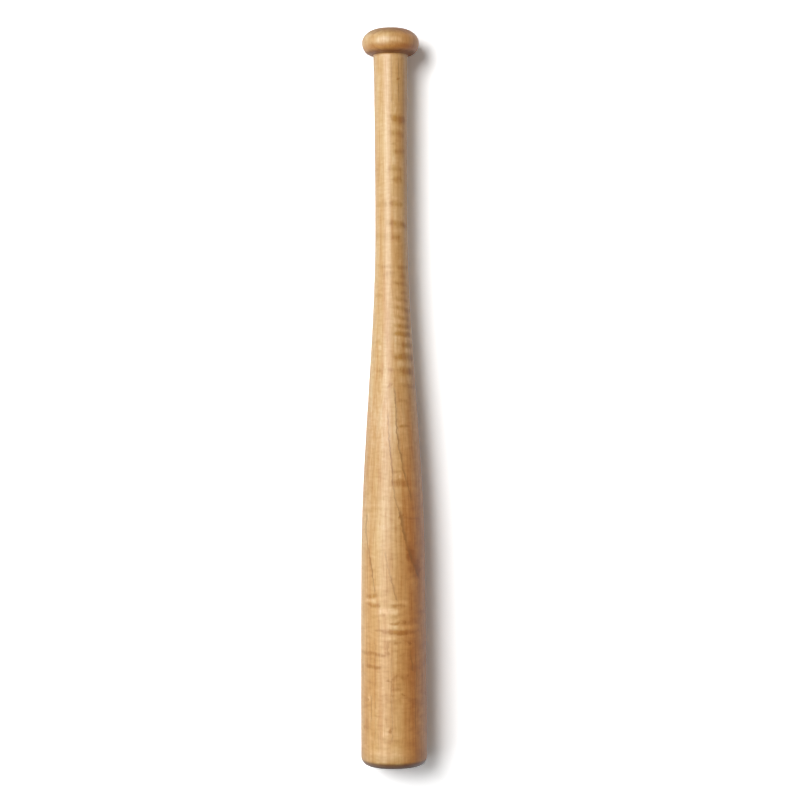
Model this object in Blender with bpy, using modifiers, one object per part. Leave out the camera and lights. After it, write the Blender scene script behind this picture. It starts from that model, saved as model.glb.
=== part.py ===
"""Wooden baseball bat, turned from one length of maple.

The bat lies on its side along Y, with the knob at the +Y end. X = 0 and Y = 0 are the
middle of its width and of its length, and the widest ring of the barrel touches Z = 0.
Stations along the bat are distances from the knob's end face.
"""

import math

import bpy

# Lengths of the zones, in metres, in order from the knob's end face
KNOB_CROWN_LENGTH = 0.0120  # end face to the widest ring of the knob
KNOB_SHOULDER_LENGTH = 0.0104  # widest ring to the fillet at the neck
NECK_FILLET_RADIUS = 0.0016
NECK_FLARE_LENGTH = 0.0960  # the grip thins from the neck over this length
GRIP_LENGTH = 0.048  # the thinnest stretch, which runs straight
TAPER_LENGTH = 0.286
BARREL_LENGTH = 0.173
BARREL_EDGE_RADIUS = 0.008  # round edge at the barrel's end face

# Radii, in metres
KNOB_FACE_RADIUS = 0.0080  # flat disc at the knob's end
KNOB_RADIUS = 0.0246
GRIP_RADIUS = 0.0139
NECK_FLARE_RISE = 0.0008  # what the radius gains from the grip to the neck
BARREL_RADIUS = 0.0284
BARREL_SWELL = 0.0010  # what the radius gains along the barrel

# Facets
TURN_STEPS = 60  # around the bat
CROWN_STEPS = 9
SHOULDER_STEPS = 7
FILLET_STEPS = 4
FLARE_STEPS = 6
TAPER_STEPS = 20
BARREL_STEPS = 8
EDGE_STEPS = 6
MERGE_DISTANCE = 0.00001

# Maple under clear lacquer, linear colour
MAPLE_COLOUR = (0.64, 0.38, 0.17, 1.0)
MAPLE_ROUGHNESS = 0.35

# Sizes that follow from the ones above
NECK_RADIUS = GRIP_RADIUS + NECK_FLARE_RISE
SHOULDER_STATION = KNOB_CROWN_LENGTH + KNOB_SHOULDER_LENGTH
NECK_STATION = SHOULDER_STATION + NECK_FILLET_RADIUS
GRIP_STATION = NECK_STATION + NECK_FLARE_LENGTH
TAPER_STATION = GRIP_STATION + GRIP_LENGTH
BARREL_STATION = TAPER_STATION + TAPER_LENGTH
EDGE_STATION = BARREL_STATION + BARREL_LENGTH
BAT_LENGTH = EDGE_STATION + BARREL_EDGE_RADIUS


def clear_scene():
    """Removes whatever objects the file holds."""
    for old in list(bpy.data.objects):
        bpy.data.objects.remove(old, do_unlink=True)


def arc(centre, semi_length, semi_depth, start, end, steps):
    """Points (station, radius) on an ellipse about centre, from angle start to end in degrees.

    At 180 degrees the point is semi_length nearer the knob than the centre, at 90 it is
    semi_depth further from the bat's axis, and at 0 it is nearer the barrel's end.
    """
    station, radius = centre
    points = []
    for i in range(steps + 1):
        angle = math.radians(start + (end - start) * i / steps)
        points.append(
            (station + semi_length * math.cos(angle), radius + semi_depth * math.sin(angle))
        )
    return points


def blend(start, end, start_slope, end_slope, steps):
    """Points (station, radius) on the cubic that leaves start and meets end at the given slopes."""
    length = end[0] - start[0]
    points = []
    for i in range(steps + 1):
        t = i / steps
        rise = t * t * (3 - 2 * t)
        radius = (
            start[1]
            + (end[1] - start[1]) * rise
            + start_slope * length * t * (1 - t) ** 2
            - end_slope * length * t * t * (1 - t)
        )
        points.append((start[0] + length * t, radius))
    return points


def knob_outline():
    """End face, domed crown, round shoulder and the fillet down to the neck."""
    crown = arc(
        (KNOB_CROWN_LENGTH, KNOB_FACE_RADIUS),
        KNOB_CROWN_LENGTH,
        KNOB_RADIUS - KNOB_FACE_RADIUS,
        180,
        90,
        CROWN_STEPS,
    )
    fillet_top = NECK_RADIUS + NECK_FILLET_RADIUS
    shoulder = arc(
        (KNOB_CROWN_LENGTH, fillet_top),
        KNOB_SHOULDER_LENGTH,
        KNOB_RADIUS - fillet_top,
        90,
        0,
        SHOULDER_STEPS,
    )
    fillet = arc(
        (NECK_STATION, fillet_top),
        NECK_FILLET_RADIUS,
        NECK_FILLET_RADIUS,
        180,
        270,
        FILLET_STEPS,
    )
    return [(0, 0)] + crown + shoulder[1:] + fillet[1:]


def grip_outline():
    """The flare below the neck, then the straight grip."""
    flare_slope = -2 * NECK_FLARE_RISE / NECK_FLARE_LENGTH
    flare = blend(
        (NECK_STATION, NECK_RADIUS), (GRIP_STATION, GRIP_RADIUS), flare_slope, 0, FLARE_STEPS
    )
    return flare + [(TAPER_STATION, GRIP_RADIUS)]


def barrel_outline():
    """The taper, the barrel that swells a little towards its end, the round edge and the end face."""
    swell_slope = 2 * BARREL_SWELL / BARREL_LENGTH
    taper = blend(
        (TAPER_STATION, GRIP_RADIUS),
        (BARREL_STATION, BARREL_RADIUS - BARREL_SWELL),
        0,
        swell_slope,
        TAPER_STEPS,
    )
    barrel = blend(taper[-1], (EDGE_STATION, BARREL_RADIUS), swell_slope, 0, BARREL_STEPS)
    edge = arc(
        (EDGE_STATION, BARREL_RADIUS - BARREL_EDGE_RADIUS),
        BARREL_EDGE_RADIUS,
        BARREL_EDGE_RADIUS,
        90,
        0,
        EDGE_STEPS,
    )
    return taper + barrel[1:] + edge[1:] + [(BAT_LENGTH, 0)]


def maple_material():
    material = bpy.data.materials.new("maple")
    material.use_nodes = True
    shader = material.node_tree.nodes["Principled BSDF"]
    shader.inputs["Base Color"].default_value = MAPLE_COLOUR
    shader.inputs["Roughness"].default_value = MAPLE_ROUGHNESS
    shader.inputs["Metallic"].default_value = 0.0
    return material


def turned_object(name, outline, material, collection):
    """Turns an outline of (station, radius) points about the object's own Z axis, knob upwards."""
    mesh = bpy.data.meshes.new(name)
    points = [(radius, 0, -station) for station, radius in outline]
    edges = [(i, i + 1) for i in range(len(points) - 1)]
    mesh.from_pydata(points, edges, [])
    mesh.materials.append(material)
    turned = bpy.data.objects.new(name, mesh)
    collection.objects.link(turned)
    screw = turned.modifiers.new("Turn", "SCREW")
    screw.axis = "Z"
    screw.angle = math.tau
    screw.steps = TURN_STEPS
    screw.render_steps = TURN_STEPS
    screw.use_merge_vertices = True
    screw.merge_threshold = MERGE_DISTANCE
    screw.use_smooth_shade = True
    return turned


def build_bat():
    clear_scene()
    collection = bpy.data.collections.new("Baseball bat")
    bpy.context.scene.collection.children.link(collection)
    outline = knob_outline() + grip_outline()[1:] + barrel_outline()[1:]
    bat = turned_object("bat_body", outline, maple_material(), collection)
    bat.rotation_euler = (-math.pi / 2, 0, 0)
    bat.location = (0, BAT_LENGTH / 2, BARREL_RADIUS)


build_bat()
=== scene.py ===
"""Looks of a turned wooden baseball bat: curly maple under clear satin lacquer, on a white floor.

The bat lies along Y with its knob at the +Y end. Stations are distances from the knob's end
face, and angles go round the bat from its top, positive towards +X. What the picture shows on
the wood is placed by its pixel row and by its share of the bat's half width there.
"""

import math
from collections import namedtuple

import bmesh
import bpy
from bpy.props import FloatProperty, FloatVectorProperty, IntProperty, PointerProperty
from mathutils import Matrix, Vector


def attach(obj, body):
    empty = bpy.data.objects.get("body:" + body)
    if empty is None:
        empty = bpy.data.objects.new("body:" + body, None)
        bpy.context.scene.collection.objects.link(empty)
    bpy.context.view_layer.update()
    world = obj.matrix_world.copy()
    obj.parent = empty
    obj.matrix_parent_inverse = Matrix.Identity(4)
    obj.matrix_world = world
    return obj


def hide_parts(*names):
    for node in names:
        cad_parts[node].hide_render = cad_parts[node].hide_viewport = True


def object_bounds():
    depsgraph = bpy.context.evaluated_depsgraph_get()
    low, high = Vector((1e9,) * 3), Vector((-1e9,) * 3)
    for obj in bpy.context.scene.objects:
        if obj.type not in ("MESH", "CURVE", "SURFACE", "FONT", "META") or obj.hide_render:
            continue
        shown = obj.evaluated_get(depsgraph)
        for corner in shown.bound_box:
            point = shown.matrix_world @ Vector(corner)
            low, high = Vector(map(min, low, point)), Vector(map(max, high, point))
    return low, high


bl_info = {
    "name": "Turned baseball bat",
    "version": (1, 0, 0),
    "blender": (4, 5, 0),
    "location": "3D View > Sidebar > Bat",
    "description": "Turns a wooden baseball bat and finishes it in lacquered curly maple",
    "category": "Object",
}

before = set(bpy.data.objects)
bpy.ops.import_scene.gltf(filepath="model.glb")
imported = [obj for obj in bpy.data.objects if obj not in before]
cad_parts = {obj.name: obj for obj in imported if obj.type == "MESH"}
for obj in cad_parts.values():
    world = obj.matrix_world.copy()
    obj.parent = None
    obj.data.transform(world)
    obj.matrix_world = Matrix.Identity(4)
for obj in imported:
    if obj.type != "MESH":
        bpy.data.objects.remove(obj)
CAD_LOW, CAD_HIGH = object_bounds()

# The bat's box, in metres
BAT_LENGTH = CAD_HIGH.y - CAD_LOW.y
KNOB_END_Y = CAD_HIGH.y
BARREL_RADIUS = (CAD_HIGH.x - CAD_LOW.x) / 2
AXIS_HEIGHT = CAD_LOW.z + BARREL_RADIUS

# The picture: its width, the bat's place in it, and its scale at the height of the bat's axis
PICTURE_PIXELS = 800
KNOB_END_ROW = 29.2
AXIS_COLUMN = 392.3  # where the bat's axis crosses the middle row
METRES_PER_PIXEL = 0.0008633
MILLIMETRES = 1000  # in a metre

# Faces along each stretch of the bat's outline, and how near two points are merged
CROWN_STEPS = 28
SHOULDER_STEPS = 22
FILLET_STEPS = 10
FLARE_STEPS = 16
TAPER_STEPS = 60
BARREL_STEPS = 24
EDGE_STEPS = 16
MERGE_DISTANCE = 0.000001

# The stage, in metres. A softbox stands in its direction from the middle of the bat.
FLOOR_HALF_WIDTH = 3.0
FLOOR_TURNS_WHITE = (0.50, 0.70)  # distances from the middle of the bat
BACKDROP_FADES = (0.0, 0.10)  # heights of a ray's direction: 0 is level, 1 straight up
Softbox = namedtuple("Softbox", "size direction distance")
KEY_SOFTBOX = Softbox((2.35, 2.35), (-0.384, 0.315, 1.0), 6.0)
SIDE_PANEL = Softbox((2.0, 0.45), (-0.77, 0.12, 1.0), 1.6)


class BatSizes(bpy.types.PropertyGroup):
    """The bat's profile, from the knob's end face to the barrel's."""

    knob_crown: FloatProperty(
        name="Knob crown",
        description="From the end face to the knob's widest ring",
        default=0.0120,
        min=0.001,
        unit="LENGTH",
    )
    knob_shoulder: FloatProperty(
        name="Knob shoulder",
        description="From the knob's widest ring to the fillet at the neck",
        default=0.0104,
        min=0.001,
        unit="LENGTH",
    )
    neck_fillet: FloatProperty(
        name="Neck fillet",
        description="Radius of the fillet between knob and grip",
        default=0.0016,
        min=0.0002,
        unit="LENGTH",
    )
    neck_flare: FloatProperty(
        name="Neck flare",
        description="Length over which the grip thins from the neck",
        default=0.0960,
        min=0.001,
        unit="LENGTH",
    )
    grip: FloatProperty(
        name="Grip",
        description="Length of the straight, thinnest stretch",
        default=0.048,
        min=0.001,
        unit="LENGTH",
    )
    taper: FloatProperty(
        name="Taper",
        description="Length over which the grip swells into the barrel",
        default=0.286,
        min=0.01,
        unit="LENGTH",
    )
    barrel_edge: FloatProperty(
        name="Barrel edge",
        description="Radius of the round edge at the barrel's end",
        default=0.008,
        min=0.0002,
        unit="LENGTH",
    )
    knob_face_radius: FloatProperty(
        name="Knob face radius",
        description="Radius of the flat disc at the knob's end",
        default=0.0080,
        min=0.0005,
        unit="LENGTH",
    )
    knob_radius: FloatProperty(
        name="Knob radius",
        description="Radius of the knob's widest ring",
        default=0.0246,
        min=0.005,
        unit="LENGTH",
    )
    grip_radius: FloatProperty(
        name="Grip radius",
        description="Radius of the thinnest stretch",
        default=0.0139,
        min=0.005,
        unit="LENGTH",
    )
    flare_rise: FloatProperty(
        name="Neck flare rise",
        description="What the radius gains from the grip to the neck",
        default=0.0008,
        min=0,
        unit="LENGTH",
    )
    barrel_swell: FloatProperty(
        name="Barrel swell",
        description="What the radius gains along the barrel",
        default=0.0010,
        min=0,
        unit="LENGTH",
    )
    turn_steps: IntProperty(
        name="Steps round", description="Faces round the bat", default=144, min=24, max=360
    )


class BatFinish(bpy.types.PropertyGroup):
    """Colours of the maple, with its painted shade and painted light, and the gloss of its lacquer.
    """

    pale_maple: FloatVectorProperty(
        name="Pale maple",
        description="Lightest wood between the growth lines",
        default=(0.74, 0.425, 0.135),
        subtype="COLOR",
    )
    # Paler along the handle, and painted light on the left side, which faces the key light
    pale_handle_and_lit_side: FloatVectorProperty(
        name="Sapwood",
        description="Paler wood along the handle and on the side of the bark",
        default=(0.78, 0.56, 0.27),
        subtype="COLOR",
    )
    warm_maple: FloatVectorProperty(
        name="Warm maple",
        description="Deeper, more orange wood",
        default=(0.56, 0.245, 0.045),
        subtype="COLOR",
    )
    curl_shade: FloatVectorProperty(
        name="Curl shade",
        description="What a dark curl band multiplies the wood by",
        default=(0.72, 0.55, 0.23),
        subtype="COLOR",
    )
    curl_light: FloatVectorProperty(
        name="Curl light",
        description="What a curl band that catches the light multiplies the wood by",
        default=(1.22, 1.42, 2.0),
        subtype="COLOR",
    )
    grain_shade: FloatVectorProperty(
        name="Grain shade",
        description="What a thin dark grain line multiplies the wood by",
        default=(0.86, 0.75, 0.50),
        subtype="COLOR",
    )
    # Painted shade: the barrel's round edge and end face turn away from the key light
    painted_end_shade: FloatVectorProperty(
        name="Barrel end",
        description="What the lacquer soaked into the barrel's end multiplies the wood by",
        default=(0.27, 0.20, 0.135),
        subtype="COLOR",
    )
    # Painted shade under the knob, whose shoulder faces away from the key light
    neck_shade: FloatVectorProperty(
        name="Neck shade",
        description="What the lacquer gathered under the knob multiplies the wood by",
        default=(0.79, 0.56, 0.26),
        subtype="COLOR",
    )
    # Painted shade: the bat's right side faces away from the key light
    shaded_side_tint: FloatVectorProperty(
        name="Heart shade",
        description="What the deeper wood on the side of the heart multiplies the wood by",
        default=(0.97, 0.72, 0.50),
        subtype="COLOR",
    )
    late_wood: FloatVectorProperty(
        name="Late wood",
        description="Dark line at the end of a year's growth",
        default=(0.31, 0.112, 0.014),
        subtype="COLOR",
    )
    end_grain: FloatVectorProperty(
        name="End grain",
        description="What the end grain multiplies the wood by",
        default=(0.55, 0.44, 0.32),
        subtype="COLOR",
    )
    wood_roughness: FloatProperty(
        name="Wood roughness",
        description="Roughness of the wood under the lacquer",
        default=0.5,
        min=0,
        max=1,
        subtype="FACTOR",
    )
    lacquer_weight: FloatProperty(
        name="Lacquer",
        description="How much of the surface the lacquer covers",
        default=1.0,
        min=0,
        max=1,
        subtype="FACTOR",
    )
    lacquer_roughness: FloatProperty(
        name="Lacquer roughness",
        description="Roughness of the satin lacquer",
        default=0.45,
        min=0,
        max=1,
        subtype="FACTOR",
    )


class BatStudio(bpy.types.PropertyGroup):
    """Camera, lamps and floor."""

    camera_height: FloatProperty(
        name="Camera height",
        description="Height of the camera over the bat's axis",
        default=1.75,
        min=0.3,
        unit="LENGTH",
    )
    camera_lean: FloatProperty(
        name="Camera lean",
        description="Turn of the camera about its own line of sight",
        default=math.radians(-0.30),
        unit="ROTATION",
    )
    key_power: FloatProperty(
        name="Key power", description="Power of the softbox", default=192, min=0, unit="POWER"
    )
    side_power: FloatProperty(
        name="Side power",
        description="Power of the panel on the left",
        default=12.8,
        min=0,
        unit="POWER",
    )
    room_light: FloatProperty(
        name="Room light",
        description="Strength of the even light from all round",
        default=0.168,
        min=0,
    )
    floor_colour: FloatVectorProperty(
        name="Floor", description="Colour of the floor", default=(0.85, 0.85, 0.85), subtype="COLOR"
    )
    floor_lift: FloatProperty(
        name="Floor lift",
        description="How many times brighter the camera sees the floor, so that it shows white",
        default=1.72,
        min=1,
    )
    floor_in_gloss: FloatProperty(
        name="Floor in gloss",
        description="How many times brighter the lacquer's gloss sees the floor beside the bat",
        default=0.95,
        min=0,
    )
    background_in_gloss: FloatProperty(
        name="Background in gloss",
        description="How bright the white background shows in the lacquer's gloss",
        default=0.35,
        min=0,
        max=1,
        subtype="FACTOR",
    )


class Nodes:
    """Adds nodes to one tree and links them, so that an effect reads as a few lines."""

    COLUMN_WIDTH = 190
    ROW_HEIGHT = 240
    ROWS = 6

    def __init__(self, tree):
        self.tree = tree
        self.count = 0

    def add(self, kind, **settings):
        node = self.tree.nodes.new(kind)
        column, row = divmod(self.count, self.ROWS)
        node.location = (column * self.COLUMN_WIDTH, -row * self.ROW_HEIGHT)
        self.count += 1
        for name, value in settings.items():
            setattr(node, name, value)
        return node

    def feed(self, socket, value):
        """Links a socket to another node's output, or sets it to a plain value."""
        if isinstance(value, bpy.types.NodeSocket):
            self.tree.links.new(value, socket)
        else:
            socket.default_value = value

    def math(self, operation, *values):
        node = self.add("ShaderNodeMath", operation=operation)
        for socket, value in zip(node.inputs, values):
            self.feed(socket, value)
        return node.outputs[0]

    def gather(self, operation, values):
        """Takes the first two values together, then that and the next one, up to the last."""
        result = values[0]
        for value in values[1:]:
            result = self.math(operation, result, value)
        return result

    def total(self, *values):
        return self.gather("ADD", values)

    def product(self, *values):
        return self.gather("MULTIPLY", values)

    def largest(self, *values):
        return self.gather("MAXIMUM", values)

    def diagonal(self, width, height):
        """The length of the diagonal of a rectangle."""
        squares = [self.math("POWER", self.math("ABSOLUTE", side), 2) for side in (width, height)]
        return self.math("SQRT", self.total(*squares))

    def spread(self, value, low, high, to_low=0.0, to_high=1.0, kind="SMOOTHSTEP"):
        """Takes the range from low to high to the range from to_low to to_high."""
        node = self.add("ShaderNodeMapRange", interpolation_type=kind, clamp=False)
        for socket, number in zip(node.inputs, (value, low, high, to_low, to_high)):
            self.feed(socket, number)
        return node.outputs[0]

    def scale(self, vector, factors):
        node = self.add("ShaderNodeVectorMath", operation="MULTIPLY")
        self.feed(node.inputs[0], vector)
        self.feed(node.inputs[1], factors)
        return node.outputs[0]

    def parts(self, vector):
        """A vector's X, Y and Z."""
        node = self.add("ShaderNodeSeparateXYZ")
        self.feed(node.inputs[0], vector)
        return node.outputs

    def noise(self, point, across, along, detail=2.0, roughness=0.5):
        """Noise from 0 to 1, with spots about so many millimetres across and along the grain."""
        scaled = self.scale(point, (1 / across, 1 / along, 1 / across))
        node = self.add("ShaderNodeTexNoise")
        self.feed(node.inputs["Vector"], scaled)
        self.feed(node.inputs["Scale"], 1.0)
        self.feed(node.inputs["Detail"], detail)
        self.feed(node.inputs["Roughness"], roughness)
        return node.outputs["Fac"]

    def sway(self, point, across, along, detail=2.0, roughness=0.5):
        """The same noise, from -0.5 to 0.5."""
        return self.math("SUBTRACT", self.noise(point, across, along, detail, roughness), 0.5)

    def mix(self, factor, first, second, blend="MIX"):
        """Mixes two colours. The node's colour sockets are inputs 6 and 7 and output 2."""
        node = self.add("ShaderNodeMix", data_type="RGBA", blend_type=blend)
        self.feed(node.inputs[0], factor)
        self.feed(node.inputs[6], first)
        self.feed(node.inputs[7], second)
        return node.outputs[2]

    def tint(self, colour, mask, shade):
        """Multiplies a colour by a shade where the mask is."""
        return self.mix(mask, colour, solid(shade), "MULTIPLY")

    def group(self, tree, values):
        node = self.add("ShaderNodeGroup", node_tree=tree)
        for name, value in values.items():
            self.feed(node.inputs[name], value)
        return node.outputs


def new_group(name, inputs, outputs):
    """Makes a shader node group whose sockets are all numbers, except one named Point."""
    tree = bpy.data.node_groups.new(name, "ShaderNodeTree")
    for label in inputs:
        kind = "NodeSocketVector" if label == "Point" else "NodeSocketFloat"
        tree.interface.new_socket(label, in_out="INPUT", socket_type=kind)
    for label in outputs:
        tree.interface.new_socket(label, in_out="OUTPUT", socket_type="NodeSocketFloat")
    nodes = Nodes(tree)
    return nodes, nodes.add("NodeGroupInput").outputs, nodes.add("NodeGroupOutput").inputs


def solid(colour):
    """The colour with full alpha, as a colour socket takes it."""
    return (*colour, 1.0)


def arc(centre, semi_length, semi_depth, start, end, steps):
    """Points (station, radius) on an ellipse about centre, from angle start to end in degrees."""
    station, radius = centre
    points = []
    for i in range(steps + 1):
        angle = math.radians(start + (end - start) * i / steps)
        points.append(
            (station + semi_length * math.cos(angle), radius + semi_depth * math.sin(angle))
        )
    return points


def blend(start, end, start_slope, end_slope, steps):
    """Points (station, radius) on the cubic that leaves start and meets end at the given slopes."""
    length = end[0] - start[0]
    points = []
    for i in range(steps + 1):
        t = i / steps
        radius = (
            start[1]
            + (end[1] - start[1]) * t * t * (3 - 2 * t)
            + start_slope * length * t * (1 - t) ** 2
            - end_slope * length * t * t * (1 - t)
        )
        points.append((start[0] + length * t, radius))
    return points


def knob_outline(sizes):
    """End face, domed crown, round shoulder and the fillet down to the neck."""
    neck_radius = sizes.grip_radius + sizes.flare_rise
    fillet_top = neck_radius + sizes.neck_fillet
    neck = sizes.knob_crown + sizes.knob_shoulder + sizes.neck_fillet
    crown_depth = sizes.knob_radius - sizes.knob_face_radius
    shoulder_depth = sizes.knob_radius - fillet_top
    crown = arc(
        (sizes.knob_crown, sizes.knob_face_radius),
        sizes.knob_crown,
        crown_depth,
        180,
        90,
        CROWN_STEPS,
    )
    shoulder = arc(
        (sizes.knob_crown, fillet_top), sizes.knob_shoulder, shoulder_depth, 90, 0, SHOULDER_STEPS
    )
    fillet = arc(
        (neck, fillet_top), sizes.neck_fillet, sizes.neck_fillet, 180, 270, FILLET_STEPS
    )
    return [(0, 0)] + crown + shoulder[1:] + fillet[1:]


def grip_outline(sizes, neck):
    """The flare below the neck, then the straight grip."""
    slope = -2 * sizes.flare_rise / sizes.neck_flare
    grip = (neck[0] + sizes.neck_flare, sizes.grip_radius)
    flare = blend(neck, grip, slope, 0, FLARE_STEPS)
    return flare + [(grip[0] + sizes.grip, sizes.grip_radius)]


def barrel_outline(sizes, grip_end):
    """The taper, the barrel that swells a little, the round edge and the end face."""
    edge = BAT_LENGTH - sizes.barrel_edge
    barrel_start = grip_end[0] + sizes.taper
    swell_slope = 2 * sizes.barrel_swell / (edge - barrel_start)
    taper = blend(
        grip_end,
        (barrel_start, BARREL_RADIUS - sizes.barrel_swell),
        0,
        swell_slope,
        TAPER_STEPS,
    )
    barrel = blend(taper[-1], (edge, BARREL_RADIUS), swell_slope, 0, BARREL_STEPS)
    round_edge = arc(
        (edge, BARREL_RADIUS - sizes.barrel_edge),
        sizes.barrel_edge,
        sizes.barrel_edge,
        90,
        0,
        EDGE_STEPS,
    )
    return taper + barrel[1:] + round_edge[1:] + [(BAT_LENGTH, 0)]


def bat_outline(sizes):
    """Points (station, radius) from the middle of the knob's end to the middle of the barrel's."""
    knob = knob_outline(sizes)
    grip = grip_outline(sizes, knob[-1])
    return knob + grip[1:] + barrel_outline(sizes, grip[-1])[1:]


def turned_piece(name, outline, steps):
    """Turns the outline about the bat's axis, knob towards +Y."""
    piece = bpy.data.objects.new(name, bpy.data.meshes.new(name))
    bpy.context.collection.objects.link(piece)
    shape = bmesh.new()
    points = [
        shape.verts.new((0, KNOB_END_Y - station, AXIS_HEIGHT + radius))
        for station, radius in outline
    ]
    line = [shape.edges.new(pair) for pair in zip(points, points[1:])]
    bmesh.ops.spin(
        shape,
        geom=points + line,
        cent=(0, 0, AXIS_HEIGHT),
        axis=(0, 1, 0),
        angle=math.tau,
        steps=steps,
        use_merge=True,
    )
    bmesh.ops.remove_doubles(shape, verts=shape.verts, dist=MERGE_DISTANCE)
    bmesh.ops.recalc_face_normals(shape, faces=shape.faces)
    for face in shape.faces:
        face.smooth = True
    shape.to_mesh(piece.data)
    shape.free()
    return piece


# What the picture shows on the bat's upper side. A band is centred on a pixel row and runs from
# one share of the half width to another, from -1 at the left edge to 1 at the right. It drops
# by so many rows on its way and is half_height rows thick each way. A negative strength is a
# band that catches the light.
Band = namedtuple("Band", "row start end drop half_height strength")
BAND_SOFTNESS = 1.7  # how far past its half height a band fades to nothing

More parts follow.
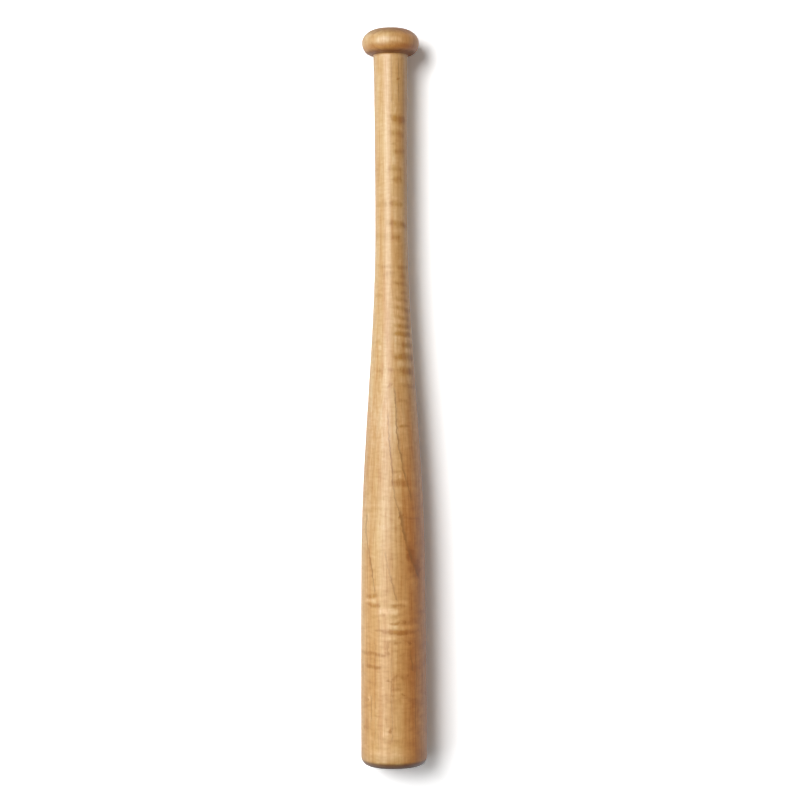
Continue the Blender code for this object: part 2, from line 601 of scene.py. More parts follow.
BANDS = (
    # Dark bands, from the knob down
    Band(79.2, 0.30, 0.58, -0.6, 1.2, 1.00),
    Band(119, -0.22, 0.95, 2.5, 3.6, 1.20),
    Band(133.5, -0.24, 0.85, 2.5, 3.4, 0.75),
    Band(143.2, 0.0, 0.35, 0, 1.2, 0.60),
    Band(151.3, -0.02, 0.92, 1, 2.8, 0.80),
    Band(169, -0.35, 0.80, 2, 3.0, 0.60),
    Band(179.2, 0.0, 0.75, 0, 3.2, 0.70),
    Band(203.6, -0.95, 0.0, 0, 3.2, 0.50),
    Band(204, -0.28, 0.78, 1.5, 3.0, 0.75),
    Band(224, -0.60, 1.05, 4.5, 3.2, 0.95),
    Band(225, 0.20, 0.80, 1, 3.4, 0.45),
    Band(236.3, -0.98, 0.10, 1.5, 3.0, 0.55),
    Band(237.3, -0.20, 0.70, 2.5, 3.2, 0.85),
    Band(266.2, -1.0, 0.35, 1.5, 2.4, 0.42),
    Band(267.3, 0.0, 1.0, 2, 2.2, 0.50),
    Band(274, -0.60, 0.30, 0, 3.0, 0.50),
    Band(276, 0.42, 0.85, 1, 2.4, 0.55),
    Band(283.5, -0.05, 0.92, 3, 2.2, 0.60),
    Band(293.5, 0.40, 0.90, 0.5, 1.8, 0.50),
    Band(295.6, -0.95, -0.42, 0, 2.0, 0.60),
    Band(299.3, 0.0, 0.90, 3, 2.2, 0.62),
    Band(309, -0.05, 1.02, 4, 2.3, 0.90),
    Band(318, 0.0, 0.96, 3, 2.2, 0.75),
    Band(326.3, -0.05, 0.96, 1.8, 2.5, 1.05),
    Band(334.3, -0.12, 0.98, 2.6, 2.7, 1.20),
    Band(342, -0.90, -0.40, 0, 2.2, 0.42),
    Band(345.5, 0.20, 1.0, 2.5, 2.4, 0.85),
    Band(357.3, -0.10, 1.0, 3.5, 3.4, 1.05),
    Band(370.5, -0.75, 0.25, 0, 3.0, 0.45),
    Band(371.3, 0.15, 1.0, 1.5, 3.6, 0.95),
    Band(384.6, -0.25, 0.02, 0, 2.2, 0.75),
    Band(386, 0.15, 1.0, 2.5, 2.2, 0.45),
    Band(401, 0.20, 0.72, 3, 2.0, 0.55),
    Band(426.2, 0.26, 0.66, 0, 1.5, 0.80),
    Band(472.3, -0.05, 0.38, 0, 1.4, 0.50),
    Band(483, -0.22, 0.52, 1.5, 3.0, 0.65),
    Band(484.5, 0.28, 0.54, 0, 2.6, 0.50),
    Band(508.3, 0.58, 0.80, 0, 2.2, 0.60),
    Band(510, -1.05, -0.55, 0, 2.2, 0.40),
    Band(516.6, 0.16, 0.36, 0, 2.2, 1.20),
    Band(518.5, 0.30, 0.92, 2.5, 1.6, 0.55),
    Band(561, 0.38, 0.86, 26, 9.0, 1.30),
    Band(569, 0.42, 0.80, 10, 8.0, 0.50),
    Band(596, -0.84, -0.46, -3, 2.4, 0.90),
    Band(605, -0.84, -0.36, 1.5, 2.0, 0.95),
    Band(605.6, -0.18, 0.38, 0, 1.5, 0.55),
    Band(615, -0.40, -0.18, 0, 1.8, 0.50),
    Band(617, -0.08, 0.22, 1, 1.8, 0.50),
    Band(622.8, 0.26, 0.42, 0, 1.8, 0.80),
    Band(624, -0.12, 0.24, -1, 1.6, 0.65),
    Band(632, -0.75, 0.85, 2.0, 1.9, 0.60),
    Band(632.6, -0.32, 0.52, 1.0, 2.4, 1.00),
    Band(643.3, -0.02, 0.22, -1.5, 1.5, 0.45),
    Band(643.5, 0.42, 0.52, 0, 1.8, 0.90),
    Band(650, -0.22, -0.08, 0, 7.0, 0.55),
    Band(654, -1.05, 0.0, 3, 1.9, 0.70),
    Band(667, -0.90, -0.28, 1.5, 1.8, 0.85),
    Band(677, 0.22, 0.45, 0, 2.6, 0.45),
    Band(678, -0.10, 0.22, -4, 1.5, 0.50),
    Band(681, -0.20, -0.08, 0, 2.5, 0.60),
    Band(689, -0.10, 0.16, -1, 1.5, 0.40),
    Band(695.2, 0.18, 0.30, 0, 1.5, 0.70),
    Band(699, -0.88, -0.74, 0, 2.0, 0.60),
    Band(727, -0.92, -0.74, 0, 2.0, 0.60),
    Band(731, -0.20, -0.06, 0, 2.4, 0.75),
    # Lighter bands, from the knob down: curl that catches the light, and painted highlights and
    # painted light
    # Painted highlight across the knob's crown
    Band(39.6, -0.06, 0.42, 0, 2.8, -1.20),
    Band(39.8, -0.80, 0.66, 0, 2.2, -0.50),
    # Painted light just below the knob, against the shade there
    Band(55, -0.95, 0.95, 0, 2.6, -0.55),
    Band(63, 0.30, 0.55, 0, 3.5, -0.50),
    Band(92, 0.22, 0.48, 0, 5.0, -0.50),
    Band(103.3, 0.02, 0.28, 0, 1.8, -0.50),
    Band(110, 0.20, 0.34, 0, 2.5, -0.65),
    Band(128.6, 0.34, 0.70, 0, 2.2, -0.65),
    Band(159, 0.0, 0.46, 0, 5.0, -0.50),
    Band(164.5, 0.42, 0.80, 0, 3.5, -0.45),
    Band(197.5, 0.0, 0.62, 0, 2.5, -0.65),
    Band(216, -0.05, 0.80, 0, 22.0, -0.60),
    Band(230.5, 0.28, 0.42, 0, 3.0, -0.65),
    Band(243, 0.18, 0.36, 0, 4.5, -0.55),
    Band(261.5, 0.36, 0.60, 1, 3.0, -0.50),
    Band(303, 0.0, 0.24, 0, 2.4, -0.45),
    Band(307.2, 0.40, 0.95, 1.5, 2.2, -0.75),
    # Painted light on the right side of the taper, where the shading falls off
    Band(324, -0.10, 0.80, 0, 28.0, -1.15),
    Band(331, 0.45, 1.0, 1, 2.4, -0.75),
    Band(336.5, -0.80, -0.52, 0, 3.0, -0.45),
    Band(338.2, -0.05, 0.40, 0, 2.8, -0.55),
    Band(339, 0.30, 1.02, 2.5, 3.0, -1.05),
    Band(348, -0.75, -0.50, 0, 2.5, -0.45),
    Band(350.5, 0.0, 0.28, 0, 3.0, -0.65),
    Band(351, 0.30, 1.0, 2, 2.6, -0.85),
    Band(363.8, 0.0, 0.95, 1.5, 3.0, -0.60),
    Band(379.5, 0.25, 0.90, 0, 4.0, -0.60),
    Band(421.5, -0.96, -0.55, -1, 1.6, -0.75),
    Band(424, -1.0, 1.0, 0, 24.0, -0.65),
    Band(427.5, -0.96, -0.50, -1, 1.8, -0.80),
    Band(429.8, 0.22, 1.0, 3, 2.2, -0.75),
    Band(445, 0.25, 0.90, 1, 2.4, -0.52),
    Band(476, 0.0, 0.14, 0, 3.0, -0.50),
    Band(476.8, 0.20, 0.42, 0, 3.0, -1.00),
    Band(477.5, 0.45, 0.90, 0, 2.6, -0.60),
    Band(491, 0.55, 0.92, 0, 3.0, -0.50),
    Band(505, 0.15, 0.32, 0, 2.5, -0.55),
    Band(540, 0.40, 0.72, 4, 9.0, -0.55),
    Band(544.5, 0.46, 0.74, 0, 2.0, -0.60),
    Band(584, 0.40, 0.80, 4, 7.0, -0.60),
    Band(601, -0.90, -0.36, 0, 2.4, -0.90),
    Band(602.4, -0.20, 0.50, -0.5, 2.2, -0.80),
    Band(611.3, -0.62, 0.40, 0, 3.2, -1.00),
    Band(618.5, -0.05, 0.60, 0, 2.2, -0.60),
    Band(627.6, -0.55, 0.85, -1.5, 2.6, -0.95),
    Band(638.3, -0.45, 0.80, 0, 3.0, -0.60),
    Band(689, 0.52, 0.64, 0, 2.5, -0.50),
    Band(698, -0.78, -0.66, 0, 3.0, -0.65),
    Band(700.5, 0.16, 0.46, 0, 2.2, -0.75),
    # Painted highlight on the barrel's left
    Band(715, -0.52, -0.16, 0, 30.0, -0.50),
    # Painted highlight along the barrel just before its round edge
    Band(755, -0.92, 0.70, 0, 4.0, -0.45),
)

# Growth lines on the upper side. Each has its strength, how many millimetres its dark wood
# spreads (to the right, or to the left where negative), and the points that it runs through, as
# pixel rows with shares of the half width.
Line = namedtuple("Line", "strength spread points")

LINES = (
    Line(0.40, 1.5, ((52, 0.03), (80, 0.05), (104, 0.04))),
    Line(0.70, 1.5, ((54, 0.44), (80, 0.48), (104, 0.47))),
    Line(
        0.90,
        3.5,
        ((384, 0.06), (403, 0.12), (438, 0.18), (455, 0.28), (471, 0.36), (486, 0.50), (505, 0.60)),
    ),
    Line(
        0.80,
        2.5,
        ((410, -0.18), (450, -0.10), (466, -0.03), (485, 0.01), (500, 0.08), (516, 0.25)),
    ),
    Line(
        0.85,
        7.0,
        ((508, 0.18), (525, 0.28), (535, 0.33), (545, 0.42), (552, 0.48), (565, 0.62), (580, 0.80)),
    ),
    Line(
        0.90,
        -3.5,
        ((510, -0.80), (530, -0.84), (545, -0.79), (560, -0.69), (575, -0.63), (596, -0.54)),
    ),
    Line(0.55, 2.5, ((550, -0.27), (572, -0.13), (585, -0.02), (593, 0.04), (603, 0.13))),
    Line(0.40, 1.5, ((636, -0.57), (690, -0.55), (748, -0.57))),
    Line(0.60, 2.0, ((650, 0.52), (660, 0.53), (672, 0.57))),
    Line(0.45, 2.5, ((652, 0.66), (675, 0.69), (698, 0.66), (732, 0.64))),
    Line(0.42, 1.5, ((655, -0.04), (672, -0.08), (700, -0.06), (745, -0.07))),
    Line(0.50, -2.0, ((694, -0.67), (715, -0.67), (730, -0.72))),
)

# How far the drawn bands and lines stray
BAND_STRAY_ALONG = 3.4  # millimetres along the bat
BAND_STRAY_ROUND = 22  # degrees round it
LINE_STRAY_ROUND = 7

# Growth lines and rings, in millimetres
CRISP_SIDE = 0.7  # over which a line's crisp side fades
PITH_DEPTH = 40.0  # from the ground down to the pith
RING_WIDTH = 3.4
RING_WANDER = 5.0  # how far the rings stray

# Where the wood and its painted shade change along the bat: from one station to another, in
# millimetres
NECK_SHADE_GROWS = (13.5, 18.5)
NECK_SHADE_FADES = (21.5, 25)
KNOB_SHADED_SIDE_FADES = (17, 24)
STREAKS_DEEPEN = (200, 340)
BARREL_SHADED_SIDE_GROWS = (270, 430)
WAVES_GROW = (330, 430)
PALE_HANDLE_FADES = (380, 540)
CURL_GROWS_LIVELY = (470, 520)

# Where the painted shade at the barrel's end grows, as distances from its end face
BARREL_SHADE_GROWS = (16, 7)
EDGE_SHADE_GROWS = (7.4, 3.6)

# Where the wood and its painted shade change round the bat, in degrees from its top
TOP_FADES = (55, 95)
SHADED_SIDE_GROWS = (0, 42)
SHADED_SIDE_FADES = (80, 150)

# Where it changes with the distance from the bat's axis, in millimetres
FLANK_GROWS = (5, 13.5)
# Painted shade at the barrel's end, half as strong near its middle
END_SHADE_GROWS = (6, 22)

# How strongly each mark colours the wood
THIN_LINE_STRENGTH = 0.7
PORE_STRENGTH = 0.18
LIGHT_CURL_STRENGTH = 0.7
GROWTH_STRENGTH = 0.72

# The surface: depths in millimetres, and gloss
PORE_DEPTH = 0.02
STREAK_DEPTH = 0.008
WOOD_SPECULAR = 0.4
LACQUER_IOR = 1.58
END_GRAIN_LACQUER = 0.35  # share of the lacquer that stays on the end grain


def radius_at(outline, station):
    """The outline's radius at a station, both in metres."""
    for (near, near_radius), (far, far_radius) in zip(outline, outline[1:]):
        if near <= station < far:
            return near_radius + (far_radius - near_radius) * (station - near) / (far - near)
    return 0.0


class PictureMap:
    """Finds what the picture shows on the bat's upper side."""

    def __init__(self, outline, camera_height):
        self.outline = outline
        self.camera_height = camera_height

    def station(self, row, share):
        """The station in millimetres of what shows at a pixel row and a share of the half width.

        The bat's upper side is nearer the camera than its axis, so it shows further from the
        picture's middle than it lies.
        """
        middle = (PICTURE_PIXELS / 2 - KNOB_END_ROW) * METRES_PER_PIXEL
        shown = (row - KNOB_END_ROW) * METRES_PER_PIXEL
        height = radius_at(self.outline, shown) * math.sqrt(max(0, 1 - share**2))
        return (middle + (shown - middle) * (1 - height / self.camera_height)) * MILLIMETRES

    @staticmethod
    def angle(share):
        """The angle in degrees round the bat of a share of its half width, past the edge too."""
        if abs(share) > 1:
            return math.copysign(90 + 90 * (abs(share) - 1), share)
        return math.degrees(math.asin(share))


def place_group():
    """Where a point of the bat is: its station, its angle from the top and its radius."""
    nodes, given, result = new_group("Bat place", ["Point"], ["Station", "Angle", "Radius"])
    point = nodes.parts(given["Point"])
    height = nodes.math("SUBTRACT", point["Z"], AXIS_HEIGHT * MILLIMETRES)
    turn = nodes.math("ARCTAN2", point["X"], height)
    station = nodes.math("SUBTRACT", KNOB_END_Y * MILLIMETRES, point["Y"])
    nodes.feed(result["Station"], station)
    nodes.feed(result["Angle"], nodes.math("DEGREES", turn))
    nodes.feed(result["Radius"], nodes.diagonal(point["X"], height))
    return nodes.tree


def band_group():
    """One soft band across the grain, which fades at its ends and drops on its way."""
    nodes, given, result = new_group(
        "Curl band",
        ["So far", "Station", "Angle", "Centre", "Start", "End", "Drop", "Half height", "Strength"],
        ["Mask"],
    )
    way = nodes.spread(given["Angle"], given["Start"], given["End"], kind="LINEAR")
    drop = nodes.product(given["Drop"], nodes.math("SUBTRACT", way, 0.5))
    centre = nodes.total(given["Centre"], drop)
    off = nodes.math("ABSOLUTE", nodes.math("SUBTRACT", given["Station"], centre))
    ends = nodes.product(nodes.spread(way, 0, 0.28), nodes.spread(way, 0.74, 1, 1, 0))
    half_height = nodes.product(given["Half height"], nodes.spread(ends, 0, 1, 0.6, 1, "LINEAR"))
    thick = nodes.spread(nodes.math("DIVIDE", off, half_height), 0, 1, 1, 0)
    band = nodes.product(thick, ends, given["Strength"])
    nodes.feed(result["Mask"], nodes.largest(given["So far"], band))
    return nodes.tree


def line_group():
    """A growth line: crisp on the side of the new year's wood and soft on the other."""
    nodes, given, result = new_group(
        "Growth line",
        ["So far", "Angle", "Radius", "Line angle", "Way", "Crisp side", "Soft side", "Strength"],
        ["Mask"],
    )
    turn = nodes.math("SUBTRACT", given["Angle"], given["Line angle"])
    off = nodes.product(nodes.math("RADIANS", turn), given["Radius"])
    crisp = nodes.spread(nodes.math("DIVIDE", off, given["Crisp side"]), -1, 0)
    fading = nodes.math("DIVIDE", off, given["Soft side"])
    core = nodes.spread(fading, 0.1, 0.42, 1, 0.35)
    soft = nodes.product(core, nodes.spread(fading, 0.2, 1, 1, 0))
    ends = nodes.product(
        nodes.spread(given["Way"], 0, 0.08), nodes.spread(given["Way"], 0.92, 1, 1, 0)
    )
    line = nodes.product(crisp, soft, ends, given["Strength"])
    nodes.feed(result["Mask"], nodes.largest(given["So far"], line))
    return nodes.tree


def rings_group():
    """Growth rings round a pith below the bat, as dark lines wherever the surface cuts them."""
    nodes, given, result = new_group(
        "Growth rings", ["Point", "Pith depth", "Ring width", "Wander"], ["Mask"]
    )
    point = nodes.parts(given["Point"])
    deep = nodes.total(point["Z"], given["Pith depth"])
    wander = nodes.product(nodes.sway(given["Point"], across=32, along=130), given["Wander"])
    distance = nodes.total(nodes.diagonal(point["X"], deep), wander)
    years = nodes.math("DIVIDE", distance, given["Ring width"])
    year = nodes.math("FLOOR", years)
    part = nodes.math("SUBTRACT", years, year)
    chance = nodes.add("ShaderNodeTexWhiteNoise", noise_dimensions="1D")
    nodes.feed(chance.inputs["W"], year)
    late = nodes.product(nodes.spread(part, 0.55, 0.93), nodes.spread(part, 0.94, 1.0, 1, 0))
    strength = nodes.spread(chance.outputs["Value"], 0, 1, 0.25, 1, "LINEAR")
    nodes.feed(result["Mask"], nodes.product(late, strength))
    return nodes.tree


def streaks_group():
    """Fine streaks along the grain, and short dark pores among them."""
    nodes, given, result = new_group("Grain streaks", ["Point"], ["Streaks", "Dark lines", "Pores"])
    broad = nodes.noise(given["Point"], across=3.4, along=110, detail=1)
    middle = nodes.noise(given["Point"], across=1.3, along=42, roughness=0.6)
    fine = nodes.noise(given["Point"], across=0.5, along=13)
    pores = nodes.noise(given["Point"], across=0.32, along=3.2, detail=1)
    stripes = nodes.total(
        nodes.product(broad, 0.36), nodes.product(middle, 0.38), nodes.product(fine, 0.21)
    )
    thin = nodes.total(nodes.product(middle, 0.5), nodes.product(fine, 0.5))
    nodes.feed(result["Streaks"], nodes.spread(stripes, 0.335, 0.615))
    nodes.feed(result["Dark lines"], nodes.spread(thin, 0.50, 0.68))
    nodes.feed(result["Pores"], nodes.spread(pores, 0.66, 0.76))
    return nodes.tree


def with_line(nodes, tree, so_far, place, angle, picture, line):
    """Adds one growth line to the mask so far.

    A curve gives the line's angle at each station. Its values from 0 to 1 stand for -90 to 90
    degrees.
    """
    stations = [picture.station(row, share) for row, share in line.points]
    angles = [picture.angle(share) for row, share in line.points]
    way = nodes.spread(place["Station"], stations[0], stations[-1], kind="LINEAR")
    curve = nodes.add("ShaderNodeFloatCurve")
    nodes.feed(curve.inputs["Value"], way)
    points = curve.mapping.curves[0].points
    while len(points) < len(angles):
        points.new(0.5, 0.5)
    length = stations[-1] - stations[0]
    for point, station, turn in zip(points, stations, angles):
        point.location = ((station - stations[0]) / length, 0.5 + turn / 180)
    curve.mapping.update()
    values = {
        "So far": so_far,
        "Angle": angle,
        "Radius": place["Radius"],
        "Line angle": nodes.spread(curve.outputs[0], 0, 1, -90, 90, "LINEAR"),
        "Way": way,
        "Crisp side": math.copysign(CRISP_SIDE, line.spread),
        "Soft side": line.spread,
        "Strength": line.strength,
    }
    return nodes.group(tree, values)["Mask"]


def with_band(nodes, tree, so_far, station, angle, picture, band):
    """Adds one curl band to the mask so far, in real sizes."""
    pixel = METRES_PER_PIXEL * MILLIMETRES
    values = {
        "So far": so_far,
        "Station": station,
        "Angle": angle,
        "Centre": picture.station(band.row, (band.start + band.end) / 2),
        "Start": picture.angle(band.start),
        "End": picture.angle(band.end),
        "Drop": band.drop * pixel,
        "Half height": band.half_height * BAND_SOFTNESS * pixel,
        "Strength": abs(band.strength),
    }
    return nodes.group(tree, values)["Mask"]


def end_mask(nodes, normal):
    """End grain, which the end faces and the round edges show, and the knob's crown more widely."""
    facing = nodes.parts(normal)["Y"]
    either_end = nodes.spread(nodes.math("ABSOLUTE", facing), 0.55, 0.9)
    return nodes.largest(either_end, nodes.spread(facing, 0.35, 0.9))


def drawn_bands(nodes, point, place, picture):
    """The dark and the light bands that the picture shows, with uneven edges."""
    sway = nodes.sway(point, across=9, along=14, detail=3, roughness=0.6)
    station = nodes.total(place["Station"], nodes.product(sway, BAND_STRAY_ALONG))
    stray = nodes.sway(point, across=14, along=5)
    angle = nodes.total(place["Angle"], nodes.product(stray, BAND_STRAY_ROUND))
    tree = band_group()
    dark = light = 0.0
    for band in BANDS:
        if band.strength > 0:
            dark = with_band(nodes, tree, dark, station, angle, picture, band)
        else:
            light = with_band(nodes, tree, light, station, angle, picture, band)
    return dark, light


def curl_masks(nodes, point, place, end, top, ripple, picture):
    """Wood that curl darkens and wood that it lights up: the drawn bands and their like below."""
    dark, light = drawn_bands(nodes, point, place, picture)
    curl = nodes.noise(point, across=24, along=7, roughness=0.45)
    figured = nodes.noise(point, across=60, along=90, detail=1)
    below = nodes.product(
        nodes.math("SUBTRACT", 1.0, top), nodes.spread(figured, 0.35, 0.6, 0.3, 1)
    )
    wave = nodes.noise(point, across=13, along=7.5, detail=1)
    waved = nodes.spread(place["Station"], *WAVES_GROW, 0.04, 0.26)
    patchy = nodes.noise(point, across=1.8, along=12, roughness=0.6)
    broken = nodes.product(
        nodes.spread(patchy, 0.34, 0.62, 0.55, 1.1), nodes.spread(end, 0.2, 1, 1, 0.1)
    )
    lively = nodes.spread(place["Station"], *CURL_GROWS_LIVELY, 1, 1.3)
    dark_curl = nodes.total(
        nodes.product(dark, 1.05),
        nodes.product(nodes.spread(curl, 0.54, 0.70), below, 0.9),
        nodes.spread(ripple, 0.03, 0.20, 0, 0.15),
        nodes.product(nodes.spread(wave, 0.50, 0.70), waved),
    )
    light_curl = nodes.total(
        nodes.product(light, 1.15),
        nodes.product(nodes.spread(curl, 0.46, 0.30), below, 0.7),
        nodes.spread(ripple, -0.03, -0.20, 0, 0.15),
        nodes.product(nodes.spread(wave, 0.50, 0.30), waved),
    )
    return nodes.product(dark_curl, broken, lively), nodes.product(light_curl, broken, lively)


def growth_mask(nodes, point, place, end, top, picture):
    """Late wood: the wavering lines that the picture shows, and faint rings all over."""
    jagged = nodes.sway(point, across=9, along=4.6)
    wavering = nodes.total(place["Angle"], nodes.product(jagged, LINE_STRAY_ROUND))
    tree = line_group()
    drawn = 0.0
    for line in LINES:
        drawn = with_line(nodes, tree, drawn, place, wavering, picture, line)
    fading = nodes.spread(nodes.noise(point, across=6, along=12), 0.36, 0.58, 0.6, 1.2)
    values = {
        "Point": point,
        "Pith depth": PITH_DEPTH,
        "Ring width": RING_WIDTH,
        "Wander": RING_WANDER,
    }
    rings = nodes.group(rings_group(), values)["Mask"]
    faint = nodes.largest(nodes.spread(top, 0, 1, 0.5, 0.16, "LINEAR"), end)
    return nodes.largest(nodes.product(drawn, fading), nodes.product(rings, faint))


def shaded_side_mask(nodes, place, flank):
    """Painted shade on the bat's right side, which faces away from the key light, along the barrel
    and on the knob.
    """
    stretches = nodes.largest(
        nodes.spread(place["Station"], *BARREL_SHADED_SIDE_GROWS, 0.28, 1),
        nodes.spread(place["Station"], *KNOB_SHADED_SIDE_FADES, 0.75, 0),
    )
    return nodes.product(
        flank,
        nodes.spread(place["Angle"], *SHADED_SIDE_GROWS),
        nodes.spread(place["Angle"], *SHADED_SIDE_FADES, 1, 0),
        stretches,
    )


def pale_handle_and_lit_side_mask(nodes, place, flank):
    """Paler wood along the handle, with painted light on the bat's left side, which faces the key
    light.
    """
    side = nodes.product(flank, nodes.math("SINE", nodes.math("RADIANS", place["Angle"])))
    along = nodes.spread(place["Station"], *PALE_HANDLE_FADES, 1, 0.4)
    return nodes.product(nodes.spread(side, 0.6, -0.7, 0.35, 1), along)


def warmth(nodes, point, place, streaks, ripple, shaded_side):
    """How warm the wood is: in long stretches, in fine stripes, and on the right side as painted
    shade.
    """
    tone = nodes.noise(point, across=13, along=95)
    stripes = nodes.total(streaks, nodes.product(ripple, 0.6))
    contrast = nodes.spread(place["Station"], *STREAKS_DEEPEN, 0.42, 0.54)
    return nodes.total(
        nodes.spread(tone, 0.36, 0.64, 0.04, 0.29),
        nodes.product(stripes, contrast),
        nodes.product(shaded_side, 0.3),
    )


def painted_end_shade_mask(nodes, place):
    """Painted shade at the barrel's end, which turns away from the key light: its round edge, its
    end face and a little before the edge.
    """
    to_end = nodes.math("SUBTRACT", BAT_LENGTH * MILLIMETRES, place["Station"])
    edge = nodes.spread(to_end, *EDGE_SHADE_GROWS)
    before = nodes.spread(to_end, *BARREL_SHADE_GROWS, 0, 0.15)
    outer = nodes.spread(place["Radius"], *END_SHADE_GROWS, 0.5, 1)
    return nodes.product(nodes.largest(edge, before), outer)


def under_knob_shade_mask(nodes, place):
    """Painted shade under the knob, where its shoulder faces away from the key light."""
    return nodes.product(
        nodes.spread(place["Station"], *NECK_SHADE_GROWS),
        nodes.spread(place["Station"], *NECK_SHADE_FADES, 1, 0),
    )


def set_surface(nodes, shader, finish, grain, end):
    """The relief and the gloss of the wood, and the lacquer over it."""
    rough = nodes.spread(grain["Streaks"], 0, 1, -0.05, 0.05, "LINEAR")
    relief = nodes.total(
        nodes.product(grain["Pores"], -PORE_DEPTH), nodes.product(grain["Streaks"], -STREAK_DEPTH)
    )
    bump = nodes.add("ShaderNodeBump")
    nodes.feed(bump.inputs["Strength"], 1.0)
    nodes.feed(bump.inputs["Distance"], 1 / MILLIMETRES)
    nodes.feed(bump.inputs["Height"], relief)
    nodes.feed(shader.inputs["Roughness"], nodes.total(rough, finish.wood_roughness))
    nodes.feed(shader.inputs["Normal"], bump.outputs["Normal"])
    nodes.feed(shader.inputs["Specular IOR Level"], WOOD_SPECULAR)
    in_end_grain = END_GRAIN_LACQUER * finish.lacquer_weight
    lacquer = nodes.spread(end, 0, 1, finish.lacquer_weight, in_end_grain)
    nodes.feed(shader.inputs["Coat Weight"], lacquer)
    nodes.feed(shader.inputs["Coat Roughness"], finish.lacquer_roughness)
    nodes.feed(shader.inputs["Coat IOR"], LACQUER_IOR)


def maple_material(finish, picture):
    """Curly maple under lacquer. Lengths in its nodes are millimetres."""
    material = bpy.data.materials.new("curly_maple")
    material.use_nodes = True
    nodes = Nodes(material.node_tree)
    shader = material.node_tree.nodes["Principled BSDF"]
    where = nodes.add("ShaderNodeTexCoord")
    point = nodes.scale(where.outputs["Object"], [MILLIMETRES] * 3)
    place = nodes.group(place_group(), {"Point": point})
    grain = nodes.group(streaks_group(), {"Point": point})
    ripple = nodes.sway(point, across=6, along=2.4, detail=1)

    # Where each kind of wood shows
    end = end_mask(nodes, where.outputs["Normal"])
    top = nodes.spread(nodes.math("ABSOLUTE", place["Angle"]), *TOP_FADES, 1, 0)
    flank = nodes.spread(place["Radius"], *FLANK_GROWS)
    shaded_side = shaded_side_mask(nodes, place, flank)
    dark_curl, light_curl = curl_masks(nodes, point, place, end, top, ripple, picture)
    growth = growth_mask(nodes, point, place, end, top, picture)
    broken = nodes.spread(nodes.noise(point, across=3, along=15, detail=1), 0.36, 0.60, 0.15, 1)
    thin_lines = nodes.product(grain["Dark lines"], broken, THIN_LINE_STRENGTH)
    pores = nodes.product(grain["Pores"], PORE_STRENGTH)

    # Colour, with painted shade on the right side, under the knob and at the barrel's end, and
    # painted light on the left side
    warm = warmth(nodes, point, place, grain["Streaks"], ripple, shaded_side)
    # Paler along the handle, and painted light on the left side
    pale_and_lit = pale_handle_and_lit_side_mask(nodes, place, flank)
    pale = nodes.mix(pale_and_lit, solid(finish.pale_maple), solid(finish.pale_handle_and_lit_side))
    colour = nodes.mix(warm, pale, solid(finish.warm_maple))
    colour = nodes.tint(colour, thin_lines, finish.grain_shade)
    # Painted shade on the right side
    colour = nodes.tint(colour, shaded_side, finish.shaded_side_tint)
    colour = nodes.mix(pores, colour, solid(finish.late_wood))
    colour = nodes.tint(colour, nodes.product(light_curl, LIGHT_CURL_STRENGTH), finish.curl_light)
    colour = nodes.tint(colour, dark_curl, finish.curl_shade)
    colour = nodes.mix(nodes.product(growth, GROWTH_STRENGTH), colour, solid(finish.late_wood))
    colour = nodes.tint(colour, end, finish.end_grain)
    # Painted shade at the barrel's end
    colour = nodes.tint(colour, painted_end_shade_mask(nodes, place), finish.painted_end_shade)
    # Painted shade under the knob
    colour = nodes.tint(colour, under_knob_shade_mask(nodes, place), finish.neck_shade)
    nodes.feed(shader.inputs["Base Color"], colour)

    set_surface(nodes, shader, finish, grain, end)
    return material


def background_rays(nodes):
    """Masks for the rays that look at the background, straight or through glass, and in gloss."""
    path = nodes.add("ShaderNodeLightPath")
    straight = nodes.largest(path.outputs["Is Camera Ray"], path.outputs["Is Transmission Ray"])
    return straight, path.outputs["Is Glossy Ray"]


def floor_material(studio):
    """A matt floor that shows white and keeps the bat's shadow, and plain white further off."""
    material = bpy.data.materials.new("floor_paper")
    material.use_nodes = True
    tree = material.node_tree
    tree.nodes.clear()
    nodes = Nodes(tree)
    straight, mirrored = background_rays(nodes)
    matt = nodes.add("ShaderNodeBsdfDiffuse")
    lifted = [channel * studio.floor_lift for channel in studio.floor_colour]
    glossed = [channel * studio.floor_in_gloss for channel in studio.floor_colour]
    colour = nodes.mix(straight, solid(studio.floor_colour), solid(lifted))
    nodes.feed(matt.inputs["Color"], nodes.mix(mirrored, colour, solid(glossed)))
    white = nodes.add("ShaderNodeEmission")
    nodes.feed(white.inputs["Strength"], nodes.spread(mirrored, 0, 1, 1, studio.background_in_gloss))
    where = nodes.add("ShaderNodeTexCoord")
    distance = nodes.add("ShaderNodeVectorMath", operation="LENGTH")
    nodes.feed(distance.inputs[0], nodes.scale(where.outputs["Object"], (1, 1, 0)))
    far = nodes.spread(distance.outputs["Value"], *FLOOR_TURNS_WHITE)
    mixed = nodes.add("ShaderNodeMixShader")
    nodes.feed(mixed.inputs[0], nodes.product(far, nodes.largest(straight, mirrored)))
    nodes.feed(mixed.inputs[1], matt.outputs[0])
    nodes.feed(mixed.inputs[2], white.outputs[0])
    output = nodes.add("ShaderNodeOutputMaterial")
    nodes.feed(output.inputs["Surface"], mixed.outputs[0])
    return material


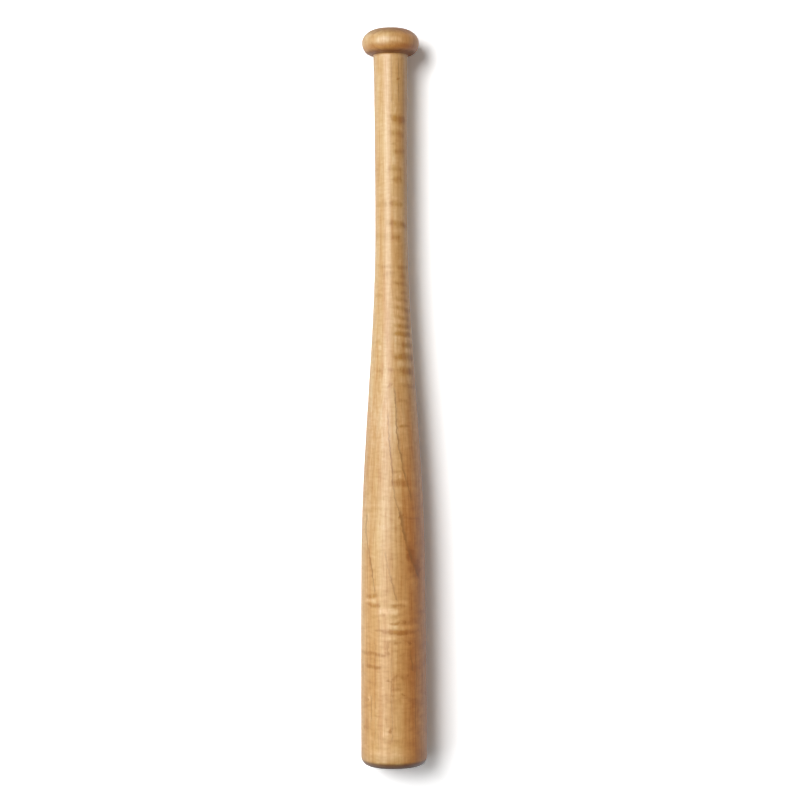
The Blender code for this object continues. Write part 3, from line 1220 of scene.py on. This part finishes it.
def make_floor(studio, sizes):
    """A floor that both the barrel and the knob touch, so it rises a little towards the knob."""
    mesh = bpy.data.meshes.new("floor")
    shape = bmesh.new()
    bmesh.ops.create_grid(shape, x_segments=2, y_segments=2, size=FLOOR_HALF_WIDTH)
    shape.to_mesh(mesh)
    shape.free()
    floor = bpy.data.objects.new("floor", mesh)
    bpy.context.collection.objects.link(floor)
    barrel_contact = KNOB_END_Y - (BAT_LENGTH - sizes.barrel_edge)
    knob_contact = KNOB_END_Y - sizes.knob_crown
    rise = BARREL_RADIUS - sizes.knob_radius
    tilt = math.atan2(rise, knob_contact - barrel_contact)
    floor.rotation_euler = (tilt, 0, 0)
    floor.location = (0, 0, CAD_LOW.z - barrel_contact * math.tan(tilt))
    mesh.materials.append(floor_material(studio))


def make_camera(studio):
    """The camera looks straight down, so that the bat lies in the picture as photographed."""
    data = bpy.data.cameras.new("camera")
    camera = bpy.data.objects.new("camera", data)
    bpy.context.collection.objects.link(camera)
    middle = PICTURE_PIXELS / 2
    camera.location = (
        (middle - AXIS_COLUMN) * METRES_PER_PIXEL,
        KNOB_END_Y - (middle - KNOB_END_ROW) * METRES_PER_PIXEL,
        AXIS_HEIGHT + studio.camera_height,
    )
    camera.rotation_euler = (0, 0, studio.camera_lean)
    picture_width = PICTURE_PIXELS * METRES_PER_PIXEL
    data.lens = data.sensor_width * studio.camera_height / picture_width
    bpy.context.scene.camera = camera


def make_lamp(name, power, softbox):
    """A softbox that faces the middle of the bat."""
    data = bpy.data.lights.new(name, "AREA")
    data.energy = power
    data.shape = "RECTANGLE"
    data.size, data.size_y = softbox.size
    lamp = bpy.data.objects.new(name, data)
    bpy.context.collection.objects.link(lamp)
    away = Vector(softbox.direction).normalized()
    lamp.location = Vector((0, 0, AXIS_HEIGHT)) + away * softbox.distance
    lamp.rotation_euler = away.to_track_quat("Z", "Y").to_euler()


def make_room(studio):
    """Even light from all round. It shows as white behind the floor, and dim overhead in gloss."""
    world = bpy.data.worlds.new("room")
    bpy.context.scene.world = world
    world.use_nodes = True
    tree = world.node_tree
    nodes = Nodes(tree)
    background = tree.nodes["Background"]
    background.inputs["Color"].default_value = (1, 1, 1, 1)
    straight, mirrored = background_rays(nodes)
    direction = nodes.add("ShaderNodeTexCoord")
    upward = nodes.parts(direction.outputs["Generated"])["Z"]
    backdrop = nodes.spread(upward, *BACKDROP_FADES, 1, 0)
    gloss = nodes.product(mirrored, backdrop, studio.background_in_gloss)
    shown = nodes.largest(straight, gloss)
    strength = nodes.spread(shown, 0, 1, studio.room_light, 1, "LINEAR")
    nodes.feed(background.inputs["Strength"], strength)


class BAT_OT_turn_bat(bpy.types.Operator):
    """Turns the bat and gives it its maple"""

    bl_idname = "bat.turn_bat"
    bl_label = "Turn the bat"

    def execute(self, context):
        scene = context.scene
        outline = bat_outline(scene.bat_sizes)
        picture = PictureMap(outline, scene.bat_studio.camera_height)
        bat = turned_piece("maple_bat", outline, scene.bat_sizes.turn_steps)
        bat.data.materials.append(maple_material(scene.bat_finish, picture))
        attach(bat, "root")
        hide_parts("bat_body")
        return {"FINISHED"}


class BAT_OT_set_stage(bpy.types.Operator):
    """Lays the floor, and sets the camera, the lamps and the room's light"""

    bl_idname = "bat.set_stage"
    bl_label = "Set the stage"

    def execute(self, context):
        studio = context.scene.bat_studio
        make_floor(studio, context.scene.bat_sizes)
        make_camera(studio)
        make_lamp("key_softbox", studio.key_power, KEY_SOFTBOX)
        make_lamp("side_panel", studio.side_power, SIDE_PANEL)
        make_room(studio)
        context.scene.view_settings.view_transform = "Standard"
        return {"FINISHED"}


class BAT_PT_bat(bpy.types.Panel):
    """Lists the bat's sizes, finish and stage, with the buttons that make them"""

    bl_label = "Turned bat"
    bl_space_type = "VIEW_3D"
    bl_region_type = "UI"
    bl_category = "Bat"

    def draw(self, context):
        scene = context.scene
        for settings, operator in (
            (scene.bat_sizes, None),
            (scene.bat_finish, BAT_OT_turn_bat.bl_idname),
            (scene.bat_studio, BAT_OT_set_stage.bl_idname),
        ):
            column = self.layout.column()
            for name in settings.__annotations__:
                column.prop(settings, name)
            if operator:
                column.operator(operator)


CLASSES = (BatSizes, BatFinish, BatStudio, BAT_OT_turn_bat, BAT_OT_set_stage, BAT_PT_bat)


def register():
    for cls in CLASSES:
        bpy.utils.register_class(cls)
    bpy.types.Scene.bat_sizes = PointerProperty(type=BatSizes)
    bpy.types.Scene.bat_finish = PointerProperty(type=BatFinish)
    bpy.types.Scene.bat_studio = PointerProperty(type=BatStudio)


def unregister():
    del bpy.types.Scene.bat_studio
    del bpy.types.Scene.bat_finish
    del bpy.types.Scene.bat_sizes
    for cls in reversed(CLASSES):
        bpy.utils.unregister_class(cls)


def main():
    """Makes the bat and its stage."""
    register()
    bpy.ops.bat.turn_bat()
    bpy.ops.bat.set_stage()


if __name__ == "__main__":
    main()
